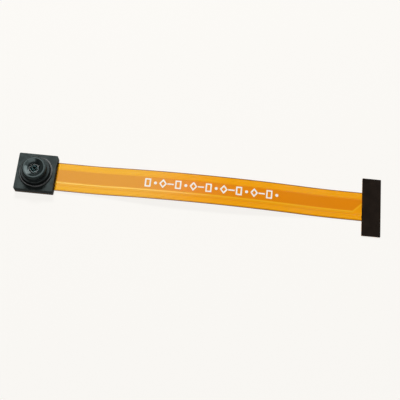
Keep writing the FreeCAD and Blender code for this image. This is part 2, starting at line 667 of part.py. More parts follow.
def make_lenses():
    turned("front_lens", [
        ("Sizes.front_lens_hollow_radius", FRONT_LENS_BOTTOM, "0"),
        (LENS_RADIUS, FRONT_LENS_BOTTOM),
        (LENS_RADIUS, LENS_SEAT),
        ("Sizes.front_lens_dome_radius", LENS_SEAT),
        ("Sizes.front_lens_dome_radius", f"{LENS_SEAT} + Sizes.front_lens_land"),
        ("0", f"{LENS_SEAT} + Sizes.front_lens_land + Sizes.front_lens_dome", "0"),
        ("0", f"{FRONT_LENS_BOTTOM} + Sizes.front_lens_hollow"),
    ])
    ring("aperture_stop", "Sizes.stop_radius", LENS_RADIUS, STOP_BOTTOM, FRONT_LENS_BOTTOM)
    for name, low, high, radius, hollow_depth, dome in (
            ("middle_lens", MIDDLE_LENS_BOTTOM, STOP_BOTTOM, "Sizes.middle_lens_radius",
             "Sizes.middle_lens_hollow", "Sizes.middle_lens_dome"),
            ("rear_lens", REAR_LENS_BOTTOM, FRONT_SPACER_BOTTOM, "Sizes.rear_lens_radius",
             "Sizes.rear_lens_hollow", "Sizes.rear_lens_dome")):
        turned(name, [
            ("0", f"{low} - {dome}"),
            (radius, low, "0"),
            (LENS_RADIUS, low),
            (LENS_RADIUS, high),
            (radius, high),
            ("0", f"{high} - {hollow_depth}", "0"),
        ])
    ring("front_spacer", "Sizes.front_spacer_radius", LENS_RADIUS,
         FRONT_SPACER_BOTTOM, MIDDLE_LENS_BOTTOM)
    ring("rear_spacer", "Sizes.rear_spacer_radius", LENS_RADIUS,
         REAR_SPACER_BOTTOM, REAR_LENS_BOTTOM)
    ring("lens_retainer", "Sizes.retainer_radius", LENS_RADIUS,
         RETAINER_BOTTOM, REAR_SPACER_BOTTOM)


def check_document():
    """Every object up to date, every body a valid shape."""
    for item in doc.Objects:
        if "Invalid" in item.State or "Error" in item.State:
            raise RuntimeError(f"{item.Name} failed: {item.State}")
    bodies = [item for item in doc.Objects if item.TypeId == "PartDesign::Body"]
    for body in bodies:
        if body.Shape.isNull() or not body.Shape.isValid():
            raise RuntimeError(f"{body.Name} has no valid shape")
    return bodies


fill_sheet()
make_rear_stiffener()
make_ribbon()
make_tab()
make_pads()
make_solder_balls()
make_sensor()
make_capacitors()
make_holder_adhesive()
make_lens_holder()
make_filter()
make_barrel()
make_lenses()
doc.recompute()

os.makedirs("parts", exist_ok=True)
for body in check_document():
    body.Shape.exportStep(f"parts/{body.Label}.step")
    box = body.Shape.BoundBox
    print(f"{body.Label}: {len(body.Shape.Solids)} solids, {body.Shape.Volume:.4f} mm3, "
          f"X {box.XMin:.2f} to {box.XMax:.2f}, Y {box.YMin:.2f} to {box.YMax:.2f}, "
          f"Z {box.ZMin:.3f} to {box.ZMax:.3f}")
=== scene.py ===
"""Looks of a small camera module: square head with a threaded lens, long amber ribbon, black tab."""

import functools
import math

import bmesh
import bpy
from mathutils import Matrix, Vector


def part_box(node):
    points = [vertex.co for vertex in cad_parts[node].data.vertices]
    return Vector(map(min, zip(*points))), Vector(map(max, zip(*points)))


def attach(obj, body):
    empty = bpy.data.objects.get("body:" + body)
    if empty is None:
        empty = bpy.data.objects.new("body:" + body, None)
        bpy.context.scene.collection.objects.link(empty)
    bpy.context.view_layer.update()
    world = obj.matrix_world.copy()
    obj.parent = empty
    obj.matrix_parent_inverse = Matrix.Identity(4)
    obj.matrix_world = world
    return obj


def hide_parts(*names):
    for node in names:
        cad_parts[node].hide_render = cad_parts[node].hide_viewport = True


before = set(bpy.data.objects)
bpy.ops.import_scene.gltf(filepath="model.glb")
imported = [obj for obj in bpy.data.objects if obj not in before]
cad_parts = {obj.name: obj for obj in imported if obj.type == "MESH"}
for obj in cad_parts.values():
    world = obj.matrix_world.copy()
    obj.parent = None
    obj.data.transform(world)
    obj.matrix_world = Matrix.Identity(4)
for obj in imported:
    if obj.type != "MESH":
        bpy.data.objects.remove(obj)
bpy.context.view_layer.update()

bl_info = {
    "name": "Camera module looks",
    "version": (1, 0, 0),
    "blender": (4, 5, 0),
    "location": "3D View > Sidebar > Camera module",
    "description": "Dresses the camera module: head, lens, ribbon, marks, tab, inner parts and studio",
    "category": "Object",
}

MM = 0.001


def low_of(node):
    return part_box(node)[0]


def high_of(node):
    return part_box(node)[1]


# Sizes and colours that a user would change

def length(name, description, millimetres):
    """A length, given here in millimetres."""
    return bpy.props.FloatProperty(name=name, description=description, default=millimetres * MM,
                                   subtype="DISTANCE", unit="LENGTH", precision=6)


def tint(name, description, default):
    return bpy.props.FloatVectorProperty(name=name, description=description, default=default,
                                         size=3, min=0.0, max=1.0, subtype="COLOR")


def whole(name, description, default):
    return bpy.props.IntProperty(name=name, description=description, default=default, min=1)


def angle(name, description, degrees):
    return bpy.props.FloatProperty(name=name, description=description, default=math.radians(degrees),
                                   subtype="ANGLE")


class RibbonSettings(bpy.types.PropertyGroup):
    """The flexible ribbon and its bow."""
    width: length("Width", "Width of the ribbon", 6.2)
    head_flat: length("Level at head", "Level stretch beside the head", 5.0)
    tab_flat: length("Level at tab", "Level stretch before the tab", 3.55)
    crest_distance: length("Crest", "Highest point of the bow along the ribbon", 34.0)
    crest_height: length("Crest height", "Underside of the ribbon at that point", 1.37)
    crest_share: bpy.props.FloatProperty(
        name="Crest share", description="Share of the bow that bends down from its top", default=0.7,
        min=0.0, max=1.0, subtype="FACTOR")
    emboss: length("Emboss", "How far the cover film sinks between the copper", 0.013)
    flank: length("Flank", "Width of the slope beside each copper line", 0.05)
    trace_width: length("Trace width", "Width of a signal line", 0.16)
    trace_spacing: length("Trace spacing", "From one signal line to the next", 0.30)
    upper_trace: length("Upper trace", "First signal line on the upper side", 1.80)
    lower_trace: length("Lower trace", "First signal line on the lower side", 1.72)
    power_trace: length("Supply trace", "Middle of the wide supply line, lower side", 1.28)
    power_width: length("Supply width", "Width of the supply line", 0.24)
    power_turn: length("Supply turn", "Where the supply line turns, before the tab", 1.85)
    ground_low: length("Ground low", "Lower edge of the wide ground strip", 1.02)
    ground_high: length("Ground high", "Upper edge of the wide ground strip", 1.55)
    hatch: length("Hatch", "Spacing of the fine mesh in the ground strip", 0.42)
    lower_gap: length("Lower gap", "Middle of the duller strip on the lower side", 1.82)
    upper_gap: length("Upper gap", "Middle of the duller strip on the upper side", 1.66)
    film: tint("Film", "Amber film over bare base", (0.945, 0.364, 0.001))
    line: tint("Lines", "Amber film over a copper line", (1.0, 0.420, 0.001))
    gap: tint("Gap", "Amber film in the duller strips", (0.895, 0.328, 0.001))
    supply: tint("Supply line", "Amber film over the wide supply line", (1.0, 0.470, 0.010))
    mesh: tint("Mesh", "Amber film over the ground mesh", (0.820, 0.254, 0.001))
    # The cut-edge tint is painted shade along the ribbon's long edges.
    rim: tint("Cut edge", "Brown cut edge of the film", (0.27, 0.115, 0.012))


class LensSettings(bpy.types.PropertyGroup):
    """The threaded barrel and the front lens."""
    core_radius: length("Thread core", "Bottom of the thread", 2.93)
    thread_pitch: length("Thread pitch", "One turn of the thread", 0.25)
    thread_height: length("Thread height", "From the barrel's foot to its step", 1.23)
    neck_step: length("Step", "From the thread in to the neck", 0.5)
    rim_radius: length("Rim", "Rounding of the rim", 0.32)
    mouth_radius: length("Mouth", "Inner edge of the rim", 1.98)
    throat_radius: length("Throat", "Opening over the front lens", 1.12)
    funnel_depth: length("Funnel", "From the rim down to the foot of the funnel", 0.47)
    seat_depth: length("Seat", "From the rim down to the seat of the lens", 0.73)
    segments: whole("Segments", "Steps round the axis", 128)
    plastic: tint("Barrel", "Satin black plastic", (0.010, 0.0145, 0.0145))
    glass: tint("Glass", "Coated lens glass", (0.38, 0.62, 0.66))


class HeadSettings(bpy.types.PropertyGroup):
    """The square housing."""
    bevel: length("Edge", "Soft edge of the moulding", 0.03)
    collar_height: length("Collar height", "Collar over the top of the housing", 0.30)
    collar_radius: length("Collar radius", "Outside of the round collar", 3.42)
    collar_edge: length("Collar edge", "Rounded outer edge of the collar", 0.14)
    plastic: tint("Housing", "Matte black plastic", (0.054, 0.067, 0.066))


class MarkSettings(bpy.types.PropertyGroup):
    """The row of plain white marks on the ribbon."""
    start: length("Start", "First mark along the ribbon", 23.0)
    spacing: length("Spacing", "From one mark to the next", 1.56)
    count: whole("Count", "Number of marks", 18)
    height: length("Height", "Height of a mark", 1.55)
    middle: length("Middle", "Middle of the row across the ribbon", 0.35)
    stroke: length("Stroke", "Width of a stroke", 0.29)
    ink: tint("Ink", "Cream white ink", (0.96, 0.93, 0.82))


class TabSettings(bpy.types.PropertyGroup):
    """The stiffened tab."""
    bevel: length("Edge", "Soft edge of the plate", 0.015)
    plate: tint("Plate", "Black laminate", (0.0130, 0.0085, 0.0060))


class StageSettings(bpy.types.PropertyGroup):
    """Camera, floor and lights."""
    floor: tint("Floor", "Pale floor", (0.965, 0.947, 0.914))
    azimuth: angle("Azimuth", "Camera turned round the part", 2.279)
    elevation: angle("Elevation", "Camera above the floor", 68.969)
    roll: angle("Roll", "Camera turned about its own axis", 3.449)
    distance: length("Distance", "Camera to the point that it looks at", 157.986)
    aim_along: length("Aim along", "Point that it looks at, along the ribbon", 33.969)
    aim_across: length("Aim across", "Point that it looks at, across the ribbon", -1.927)
    lens: bpy.props.FloatProperty(name="Lens", description="Focal length in millimetres on a 36 mm sensor",
                                  default=69.307, min=1.0)


def settings():
    return bpy.context.scene.camera_module


# Shader expressions

class Number:
    """A number in a node tree; an expression on it adds its Math nodes."""

    def __init__(self, shade, socket):
        self.shade = shade
        self.socket = socket

    def math(self, operation, *others):
        return self.shade.node("Math", dict(enumerate((self,) + others)), operation=operation)

    def __add__(self, other):
        return self.math("ADD", other)

    def __sub__(self, other):
        return self.math("SUBTRACT", other)

    def __rsub__(self, other):
        return self.shade.node("Math", {0: other, 1: self}, operation="SUBTRACT")

    def __mul__(self, other):
        return self.math("MULTIPLY", other)

    def __truediv__(self, other):
        return self.math("DIVIDE", other)

    __radd__ = __add__
    __rmul__ = __mul__

    def size(self):
        return self.math("ABSOLUTE")


def add_node(tree, kind, values=None, **setup):
    """A node with its settings, and with each input linked or given a plain value."""
    made = tree.nodes.new(kind)
    for name, value in setup.items():
        setattr(made, name, value)
    for name, value in (values or {}).items():
        socket = made.inputs[name]
        if isinstance(value, Number):
            value = value.socket
        if isinstance(value, bpy.types.NodeSocket):
            tree.links.new(value, socket)
        elif socket.type == "RGBA":
            socket.default_value = tuple(value)[:3] + (1.0,)
        else:
            socket.default_value = value
    return made


class Shade:
    """The node tree of a material or a world, and its shortcuts."""

    def __init__(self, owner):
        owner.use_nodes = True
        self.owner = owner
        self.tree = owner.node_tree
        self.tree.nodes.clear()

    def node(self, kind, values=None, output=0, **setup):
        """An output of a new node; a number keeps its operators."""
        made = add_node(self.tree, "ShaderNode" + kind, values, **setup)
        socket = made.outputs[output]
        return Number(self, socket) if socket.type == "VALUE" else socket

    def finish(self, kind, shader):
        """Show a shader, and give back the material or the world."""
        add_node(self.tree, "ShaderNodeOutput" + kind, {"Surface": shader})
        return self.owner

    @functools.cached_property
    def place(self):
        """Object coordinates in millimetres."""
        coordinates = self.node("TexCoord", output="Object")
        return self.node("VectorMath", {"Vector": coordinates, "Scale": 1.0 / MM}, operation="SCALE")

    def split(self, vector):
        """The three numbers of a vector."""
        parts = add_node(self.tree, "ShaderNodeSeparateXYZ", {0: vector})
        return [Number(self, socket) for socket in parts.outputs]

    @functools.cached_property
    def axes(self):
        """The three coordinates of the place."""
        return self.split(self.place)

    @functools.cached_property
    def radius(self):
        """Distance of the place from the optical axis."""
        across_x, across_y = self.axes[:2]
        return (across_x * across_x + across_y * across_y).math("SQRT")

    def ray(self, kind):
        """One for a ray of the kind given, nought for all others."""
        return self.node("LightPath", output=f"Is {kind} Ray")

    def noise(self, scale, detail=3.0, roughness=0.55, stretch=None):
        """Noise over the place, squeezed along each axis where factors are given."""
        place = self.place
        if stretch:
            place = self.node("Mapping", {"Vector": place, "Scale": stretch})
        return self.node("TexNoise", {"Vector": place, "Scale": scale,
                                      "Detail": detail, "Roughness": roughness})

    def mix(self, factor, first, second):
        return self.node("Mix", {0: factor, 6: first, 7: second}, 2, data_type="RGBA")

    def toned(self, noise, low, high, colour, first, last):
        """A colour whose brightness follows a noise."""
        return self.mix(self.ramp(noise, low, high), lighter(colour, first), lighter(colour, last))

    def ramp(self, number, low, high, first=0.0, last=1.0):
        """A smooth step from low to high."""
        return self.node("MapRange", {"Value": number, "From Min": low, "From Max": high,
                                      "To Min": first, "To Max": last}, interpolation_type="SMOOTHSTEP")

    def band(self, number, middle, half_width, soft):
        """One inside a band, nought outside, with soft sides."""
        return self.ramp((number - middle).size(), half_width + soft, half_width - soft)

    def bump(self, height, strength, distance):
        return self.node("Bump", {"Height": height, "Strength": strength, "Distance": distance * MM})

    def surface(self, values, other=None, share=None):
        """The material, with one surface or two of them mixed by a share."""
        shader = self.node("BsdfPrincipled", values)
        if other:
            second = self.node("BsdfPrincipled", other)
            shader = self.node("MixShader", {0: share, 1: shader, 2: second})
        return self.finish("Material", shader)


def new_shade(name):
    return Shade(bpy.data.materials.new(name))


def lighter(colour, factor):
    return tuple(min(1.0, channel * factor) for channel in colour)


# Tint of the reflections in black plastic
COOL_TINT = (0.80, 1.0, 1.0)


def moulded_values(shade, colour, roughness, specular, grain, grain_scale):
    """Fine grain, faint cloudy tone and slightly uneven gloss."""
    cloud = shade.noise(0.55, 2.0)
    fine = shade.noise(grain_scale, 4.0, 0.6)
    return {
        "Base Color": shade.toned(cloud, 0.35, 0.68, colour, 0.82, 1.28),
        "Roughness": roughness + (fine - 0.5) * 0.16,
        "Specular IOR Level": specular,
        "Specular Tint": COOL_TINT,
        "Normal": shade.bump(fine, 0.35, grain),
    }


def moulded_plastic(name, colour, roughness, specular):
    """Black moulded plastic of the rings inside the barrel."""
    shade = new_shade(name)
    return shade.surface(moulded_values(shade, colour, roughness, specular, 0.005, 30.0))


def housing_plastic(colour, wall_top, crown_radius):
    """Matte housing with painted shade: its upright sides and the collar, all but its crown, are darkened
    in colour; the crown and the collar's outer edge are glossier.
    """
    shade = new_shade("moulded_black_housing")
    up = shade.axes[2]
    radius = shade.radius
    values = moulded_values(shade, colour, 0.50, 0.02, 0.010, 22.0)
    # Painted shade: the upright sides darken below the top face.
    painted_wall_shade = shade.ramp(up, wall_top - 0.04, wall_top - 0.16)
    collar = shade.ramp(up, wall_top + 0.02, wall_top + 0.05)
    crown = collar * shade.band(radius, crown_radius, 0.08, 0.04)
    edge = (collar - crown) * shade.ramp(radius, crown_radius, crown_radius + 0.1)
    # Painted shade: the collar is darkened in colour, its crown less so.
    darker = shade.mix(painted_wall_shade, values["Base Color"], lighter(colour, 0.25))
    values["Base Color"] = shade.mix(collar - crown * 0.6, darker, lighter(colour, 0.15))
    values["Coat Weight"] = crown + edge
    values["Coat Roughness"] = 0.22
    return shade.surface(values)


def barrel_plastic(colour, rim_radius, thread_top):
    """Satin mouth; duller outside the rim, with painted light that makes the step paler and painted shade
    that makes the thread near black.
    """
    shade = new_shade("satin_black_barrel")
    up = shade.axes[2]
    values = moulded_values(shade, colour, 0.22, 0.5, 0.004, 30.0)
    outside = shade.ramp(shade.radius, rim_radius, rim_radius + 0.12)
    # Painted shade: the thread below the step is coloured near black.
    thread = shade.ramp(up, thread_top - 0.01, thread_top - 0.09)
    step = shade.ramp(up, thread_top + 0.05, thread_top + 0.01)
    # Painted light: the step is paler in colour.
    painted_lit_step = shade.mix(step, values["Base Color"], lighter(colour, 1.5))
    dull_with_painted_shading = {
        "Base Color": shade.mix(thread, painted_lit_step, (0.001, 0.0012, 0.0012)),
        "Roughness": 0.36 + thread * 0.4,
        "Specular IOR Level": 0.14,
        "Specular Tint": COOL_TINT,
        "Coat Weight": step * (1.0 - thread) * 0.2,
        "Coat Roughness": 0.25,
    }
    return shade.surface(values, dull_with_painted_shading, outside)


def supply_turn():
    """Where the supply line turns towards the tab's middle."""
    return low_of("connector_stiffener").x - settings().ribbon.power_turn


def copper_pattern(shade, across_x, across_y):
    """Where signal lines, supply line, ground strip and its mesh lie under the film."""
    ribbon = settings().ribbon
    soft = 0.02
    spacing = ribbon.trace_spacing / MM
    half = ribbon.trace_width / MM / 2
    lines = 0.0
    for first, sign in ((ribbon.upper_trace / MM, 1.0), (ribbon.lower_trace / MM, -1.0)):
        along = across_y * sign - first
        wave = along - (along / spacing).math("ROUND") * spacing
        group = shade.band(along, 1.5 * spacing, 2.0 * spacing, 0.01)
        lines = lines + shade.ramp(wave.size(), half + soft, half - soft) * group
    turn = supply_turn() / MM
    before = shade.ramp(across_x, turn + 0.03, turn - 0.03)
    slanted = across_y - across_x
    power = -ribbon.power_trace / MM
    power_half = ribbon.power_width / MM / 2 + 0.04
    straight = shade.band(across_y, power, power_half, soft) * before
    slant = shade.band(slanted, power - turn, power_half, soft) * (1.0 - before)
    ground_middle = (ribbon.ground_high - ribbon.ground_low) / MM / 2
    ground_half = (ribbon.ground_high + ribbon.ground_low) / MM / 2
    slant_edge = power - turn + power_half
    above_slant = shade.ramp(slanted, slant_edge + 0.1, slant_edge + 0.2)
    ground = shade.band(across_y, ground_middle, ground_half, soft)
    ground = ground * (before + (1.0 - before) * above_slant)
    hatch = 1.0
    for direction in (1.0, -1.0):
        slope = (across_x + across_y * direction) / (ribbon.hatch / MM)
        hatch = hatch * shade.ramp((slope.math("FRACT") - 0.5).size(), 0.13, 0.20)
    return lines, straight + slant, ground, hatch


def amber_film(name, patterned):
    """Amber polyimide over copper: bright lines, a darker fine mesh, and painted shade in brown along the
    long edges.
    """
    ribbon = settings().ribbon
    shade = new_shade(name)
    across_x, across_y = shade.axes[:2]
    drift = shade.noise(1.0, 2.0, stretch=(0.05, 0.25, 1.0))
    streaks = shade.noise(1.0, 3.0, stretch=(0.12, 9.0, 1.0))
    colour = shade.toned(drift, 0.3, 0.7, ribbon.film, 0.96, 1.04)
    height = streaks * 0.15
    gloss = 0.0
    if patterned:
        lines, supply, ground, hatch = copper_pattern(shade, across_x, across_y)
        colour = shade.mix(ground, colour, shade.mix(hatch, lighter(ribbon.mesh, 1.10),
                                                     lighter(ribbon.mesh, 0.97)))
        colour = shade.mix(lines, colour, ribbon.line)
        gaps = (shade.band(across_y, -ribbon.lower_gap / MM, 0.15, 0.14)
                + shade.band(across_y, ribbon.upper_gap / MM, 0.08, 0.12))
        colour = shade.mix(gaps, colour, ribbon.gap)
        colour = shade.mix(supply, colour, ribbon.supply)
        gloss = supply * 0.75
        # Painted light: the film is tinted yellower from the crest towards the head.
        near_head = shade.ramp(across_x, ribbon.crest_distance / MM, 18.0)
        painted_light_tint = shade.mix(ground, (0.95, 1.13, 1.0), (0.90, 1.16, 1.0))
        painted_light_factor = shade.mix(near_head, (1.0, 1.0, 1.0), painted_light_tint)
        colour = shade.node("VectorMath", {0: colour, 1: painted_light_factor}, operation="MULTIPLY")
        height = height + (1.0 - hatch) * ground * 0.5
    edge = ribbon.width / MM / 2
    tab_start = low_of("connector_stiffener").x / MM
    # Painted shade: a brown band along both long edges of the film, stopping at the tab.
    rim = shade.ramp(across_y.size(), edge - 0.26, edge - 0.08)
    rim = rim * shade.ramp(across_x, tab_start, tab_start - 0.02)
    colour = shade.mix(rim, colour, ribbon.rim)
    return shade.surface({
        "Base Color": colour,
        "Roughness": 0.21 + (drift - 0.5) * 0.08,
        "Specular IOR Level": 0.30,
        "Coat Weight": gloss,
        "Coat Roughness": 0.15,
        "Normal": shade.bump(height, 0.25, 0.01),
    })


def grainy(name, colour, grain, tones, roughness, depth):
    """A fine grain in the tone, the gloss and the height."""
    shade = new_shade(name)
    speck = shade.noise(*grain)
    low, high, first, last = tones
    return shade.surface({
        "Base Color": shade.toned(speck, low, high, colour, first, last),
        "Roughness": roughness + (speck - 0.5) * 0.2,
        "Normal": shade.bump(speck, 0.3, depth),
    })


def black_laminate():
    """Black plate with the faint weave of its glass cloth."""
    shade = new_shade("black_laminate_plate")
    across_x, across_y = shade.axes[:2]
    weave = (across_x * 9.0).math("SINE") * (across_y * 9.0).math("SINE")
    cloud = shade.noise(0.4, 3.0)
    speck = shade.noise(14.0, 3.0)
    return shade.surface({
        "Base Color": shade.toned(cloud, 0.3, 0.7, settings().tab.plate, 0.85, 1.2),
        "Roughness": 0.62 + weave * 0.03 + (speck - 0.5) * 0.1,
        "Specular IOR Level": 0.02,
        "Normal": shade.bump(weave * 0.3 + speck, 0.3, 0.006),
    })


def metal(name, colour, roughness, stretch=None, scale=8.0):
    """Metal with fine rolling marks and a slight tarnish."""
    shade = new_shade(name)
    marks = shade.noise(scale, 4.0, stretch=stretch)
    tarnish = shade.noise(1.3, 3.0)
    return shade.surface({
        "Base Color": shade.toned(tarnish, 0.4, 0.75, colour, 1.0, 0.78),
        "Metallic": 1.0,
        "Roughness": roughness + (marks - 0.5) * 0.2,
        "Normal": shade.bump(marks, 0.25, 0.004),
    })


def resin():
    shade = new_shade("black_resin_bead")
    lumps = shade.noise(2.5, 2.0)
    return shade.surface({
        "Base Color": shade.mix(lumps, (0.004, 0.004, 0.004), (0.010, 0.009, 0.008)),
        "Roughness": 0.45 + lumps * 0.2,
        "Specular IOR Level": 0.1,
        "Normal": shade.bump(lumps, 0.5, 0.03),
    })


def silicon():
    """Polished die: dark rim with bond pads' tone, and a pixel field of faint colours."""
    shade = new_shade("polished_silicon")
    across_x, across_y = shade.axes[:2]
    field = shade.band(across_x, 0.0, 1.8, 0.02) * shade.band(across_y, 0.0, 1.5, 0.02)
    cloud = shade.noise(0.8, 2.0)
    pixels = shade.mix(shade.ramp(cloud, 0.3, 0.7), (0.05, 0.10, 0.09), (0.09, 0.06, 0.12))
    return shade.surface({
        "Base Color": shade.mix(field, (0.10, 0.11, 0.13), pixels),
        "Metallic": 0.6,
        "Roughness": 0.18 + cloud * 0.1,
    })


def glass(name, colour, roughness, index, edge=None):
    """Clear glass with a thin coating's tint and faint polishing haze."""
    shade = new_shade(name)
    haze = shade.noise(1.2, 2.0)
    values = {
        "Base Color": shade.toned(haze, 0.3, 0.7, colour, 0.95, 1.0),
        "Roughness": roughness + haze * 0.03,
        "IOR": index,
        "Transmission Weight": 1.0,
        "Specular Tint": (0.75, 1.0, 0.97),
    }
    if edge:
        values["Coat Weight"] = shade.ramp(shade.radius, edge - 0.03, edge + 0.01)
        values["Coat IOR"] = 1.9
    return shade.surface(values)


# Meshes

def new_object(name, data):
    made = bpy.data.objects.new(name, data)
    bpy.context.scene.collection.objects.link(made)
    return made


def new_piece(name, mesh, material, slot, *nodes):
    """A finished piece of the part, standing for the nodes given."""
    for polygon in mesh.polygons:
        polygon.use_smooth = True
    mesh.name = name
    mesh.materials.clear()
    mesh.materials.append(material)
    piece = new_object(name, mesh)
    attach(piece, "root")
    if nodes:
        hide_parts(*nodes)


def finished(form, degrees):
    """The mesh of a form; edges sharper than an angle stay crisp under smooth shading."""
    for edge in form.edges:
        if len(edge.link_faces) == 2:
            edge.smooth = edge.calc_face_angle(0.0) < math.radians(degrees)
    mesh = bpy.data.meshes.new("form")
    form.to_mesh(mesh)
    form.free()
    return mesh


def mesh_from(build):
    """A mesh whose faces are made by the function given and point outwards."""
    form = bmesh.new()
    build(form)
    bmesh.ops.remove_doubles(form, verts=form.verts, dist=1e-8)
    bmesh.ops.recalc_face_normals(form, faces=form.faces)
    return finished(form, 35.0)


def lathe(profile, segments):
    """A shape turned about the optical axis from (radius, height) points in millimetres.
    It is a closed ring unless both ends of the profile lie on the axis."""
    def build(form):
        turns = [2 * math.pi * step / segments for step in range(segments)]
        rings = [[form.verts.new((radius * MM * math.cos(turn), radius * MM * math.sin(turn), height * MM))
                  for turn in turns] for radius, height in profile]
        if profile[0][0] and profile[-1][0]:
            rings.append(rings[0])
        for first, second in zip(rings, rings[1:]):
            for step in range(segments):
                following = (step + 1) % segments
                form.faces.new((first[step], first[following], second[following], second[step]))
    return mesh_from(build)


def round_corner(centre, radius, first, last, steps):
    """Points of an arc about a centre, between two angles in degrees."""
    points = []
    for step in range(steps + 1):
        turn = math.radians(first + (last - first) * step / steps)
        points.append((centre[0] + radius * math.cos(turn), centre[1] + radius * math.sin(turn)))
    return points


def refined_copy(node, bevel, collar=None):
    """A welded copy of a node's own mesh, with soft edges and a rounded collar."""
    form = bmesh.new()
    form.from_mesh(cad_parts[node].data)
    bmesh.ops.remove_doubles(form, verts=form.verts, dist=2e-7)
    bmesh.ops.dissolve_limit(form, angle_limit=math.radians(0.5), verts=form.verts, edges=form.edges)
    crease = 30.0

    def sharp_edges():
        return [edge for edge in form.edges
                if len(edge.link_faces) == 2 and edge.calc_face_angle(0.0) > math.radians(crease)]

    def soften(edges, offset, segments, profile):
        bmesh.ops.bevel(form, geom=edges, offset=offset, offset_type="OFFSET", segments=segments,
                        profile=profile, affect="EDGES", clamp_overlap=True)

    sharp = sharp_edges()
    if collar:
        top = max(vertex.co.z for vertex in form.verts)
        crown = [vertex for vertex in form.verts if vertex.co.z > top - 0.01 * MM]
        outer = max(vertex.co.xy.length for vertex in crown)
        ring = {vertex for vertex in crown if vertex.co.xy.length > outer - 0.02 * MM}
        soften([edge for edge in sharp if ring.issuperset(edge.verts)], collar, 3, 0.5)
        sharp = [edge for edge in sharp_edges()
                 if max(vertex.co.z for vertex in edge.verts) < top - 0.5 * collar]
    soften(sharp, bevel, 2, 0.7)
    bmesh.ops.triangulate(form, faces=[face for face in form.faces if len(face.verts) > 4])
    return finished(form, crease)


# The ribbon: steps of its mesh, and the rounding of head and tab in plan

ALONG_STEP = 0.5 * MM
TURN_STEP = 0.06 * MM
ACROSS_STEP = 0.4 * MM
FINE_STEP = 0.12 * MM
HEAD_CORNER = 0.25 * MM
TAB_CORNER = 0.15 * MM
SUPPLY_CLEARANCE = 0.14 * MM


class Bow:
    """Side view of the ribbon: level, up over the crest, and level again."""

    def __init__(self):
        ribbon = settings().ribbon
        head = high_of("rear_stiffener")
        self.head_level = head.z
        self.start = head.x + ribbon.head_flat
        self.end = low_of("connector_stiffener").x - ribbon.tab_flat
        self.crest = ribbon.crest_distance
        self.height = ribbon.crest_height
        self.share = ribbon.crest_share

    def line(self, along):
        """Height and slope of the ribbon's underside at a distance along X."""
        side = 1 if along < self.crest else -1
        foot, level = (self.start, self.head_level) if side > 0 else (self.end, 0.0)
        reach = (along - foot) * side
        if reach <= 0.0:
            return level, 0.0
        run = (self.crest - foot) * side
        rise = self.height - level
        both = (run * run + rise * rise) / (2 * rise)
        crest_radius = both * self.share
        foot_radius = both - crest_radius
        if reach < run * foot_radius / both:
            arm = math.sqrt(foot_radius ** 2 - reach ** 2)
            return level + foot_radius - arm, side * reach / arm
        reach = run - reach
        arm = math.sqrt(crest_radius ** 2 - reach ** 2)
        return self.height - crest_radius + arm, side * reach / arm

    def point(self, along, across, layer):
        """A point at a height above the ribbon's underside."""
        height, slope = self.line(along)
        tilt = math.atan(slope)
        return (along - layer * math.sin(tilt), across, height + layer * math.cos(tilt))


def signal_lines():
    """Middles of the signal lines across the ribbon, four on each side."""
    ribbon = settings().ribbon
    sides = ((ribbon.upper_trace, 1.0), (ribbon.lower_trace, -1.0))
    return [sign * (first + number * ribbon.trace_spacing) for first, sign in sides for number in range(4)]


def copper_share(along, across):
    """One over copper, nought beside it, and between them on the flanks."""
    ribbon = settings().ribbon

    def inside(distance, half):
        return max(0.0, min(1.0, (half + ribbon.flank - distance) / ribbon.flank))

    shift = max(0.0, along - supply_turn())
    power = across + ribbon.power_trace - shift
    ground_middle = (ribbon.ground_high - ribbon.ground_low) / 2
    ground = inside(abs(across - ground_middle), (ribbon.ground_high + ribbon.ground_low) / 2)
    if shift:
        gap = power - ribbon.power_width / 2 - SUPPLY_CLEARANCE
        ground = min(ground, max(0.0, min(1.0, gap / ribbon.flank)))
    lines = [inside(abs(across - middle), ribbon.trace_width / 2) for middle in signal_lines()]
    return max(ground, inside(abs(power), ribbon.power_width / 2), *lines)


def stations(low, high, step):
    """Even places from low to high, about a step apart."""
    count = max(1, round((high - low) / step))
    return [low + (high - low) * number / count for number in range(count + 1)]


def film_shell(form, along_list, across_list, low, high):
    """A closed strip on the bow between two heights, each a function of place."""
    bow = Bow()
    top, bottom = [[[form.verts.new(bow.point(along, across, height(along, across)))
                     for across in across_list] for along in along_list] for height in (high, low)]
    for upper, next_upper, lower, next_lower in zip(top, top[1:], bottom, bottom[1:]):
        for column in range(len(upper) - 1):
            form.faces.new((upper[column], next_upper[column], next_upper[column + 1], upper[column + 1]))
            form.faces.new((lower[column], lower[column + 1], next_lower[column + 1], next_lower[column]))
        for column in (0, -1):
            form.faces.new((upper[column], next_upper[column], next_lower[column], lower[column]))
    for upper, lower in ((top[0], bottom[0]), (top[-1], bottom[-1])):
        for column in range(len(upper) - 1):
            form.faces.new((upper[column], upper[column + 1], lower[column + 1], lower[column]))


def prism(form, lower, upper):
    """A solid between two outlines whose points pair up."""
    upper = [form.verts.new(point) for point in upper]
    lower = [form.verts.new(point) for point in lower]
    form.faces.new(upper)
    form.faces.new(lower[::-1])
    for step in range(len(lower)):
        following = (step + 1) % len(lower)
        form.faces.new((lower[step], lower[following], upper[following], upper[step]))


def rounded_plate(form, low_x, high_x, half_y, corner, low_z, high_z):
    """An upright plate whose corners are rounded in plan."""
    outline = []
    for x, y, first in ((high_x - corner, half_y - corner, 0.0),
                        (low_x + corner, half_y - corner, 90.0),
                        (low_x + corner, corner - half_y, 180.0),
                        (high_x - corner, corner - half_y, 270.0)):
        outline += round_corner((x, y), corner, first, first + 90.0, 5)
    prism(form, [(x, y, low_z) for x, y in outline], [(x, y, high_z) for x, y in outline])


